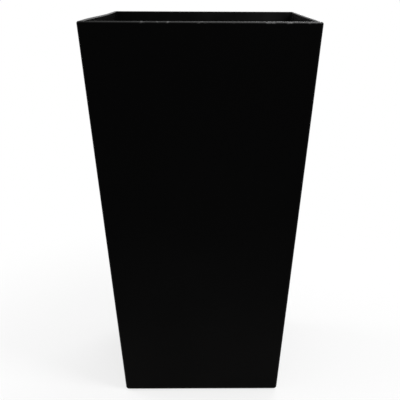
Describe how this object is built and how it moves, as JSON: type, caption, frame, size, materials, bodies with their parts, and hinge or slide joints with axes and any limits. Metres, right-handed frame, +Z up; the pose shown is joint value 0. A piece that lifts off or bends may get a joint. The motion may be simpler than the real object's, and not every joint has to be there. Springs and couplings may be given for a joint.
{
  "type": "planter",
  "caption": "Tall square tapered planter, open at the top with a rounded rim; a slotted grid inside stands over a water reservoir, and plugs close the drain holes.",
  "frame": {"origin": "on the ground under the middle of the planter, at the bottom of its pads", "axes": "+Z up towards the open top; the front face looks along -Y; +X to the right seen from the front"},
  "size_m": [0.3416, 0.3416, 0.61],
  "materials": {
    "shell_plastic": "moulded black plastic, low sheen with a fine grain",
    "grid_plastic": "moulded black plastic, plain",
    "plug_rubber": "soft black rubber, matte",
    "pad_rubber": "soft dark rubber, matte"
  },
  "bodies": {
    "planter": {"planter_shell": "shell_plastic", "foot_pad_front_left": "pad_rubber", "foot_pad_front_right": "pad_rubber", "foot_pad_back_left": "pad_rubber", "foot_pad_back_right": "pad_rubber"},
    "grid": {"watering_grid": "grid_plastic"},
    "plug_front_left": {"drain_plug_front_left": "plug_rubber"},
    "plug_front_right": {"drain_plug_front_right": "plug_rubber"},
    "plug_back_left": {"drain_plug_back_left": "plug_rubber"},
    "plug_back_right": {"drain_plug_back_right": "plug_rubber"}
  },
  "joints": [
    {"name": "grid_lift", "type": "slide", "parent": "planter", "child": "grid", "axis": [0, 0, 1], "range_m": [0, 0.62]},
    {"name": "plug_front_left_pull", "type": "slide", "parent": "planter", "child": "plug_front_left", "axis": [0, 0, 1], "range_m": [0, 0.05]},
    {"name": "plug_front_right_pull", "type": "slide", "parent": "planter", "child": "plug_front_right", "axis": [0, 0, 1], "range_m": [0, 0.05]},
    {"name": "plug_back_left_pull", "type": "slide", "parent": "planter", "child": "plug_back_left", "axis": [0, 0, 1], "range_m": [0, 0.05]},
    {"name": "plug_back_right_pull", "type": "slide", "parent": "planter", "child": "plug_back_right", "axis": [0, 0, 1], "range_m": [0, 0.05]}
  ]
}
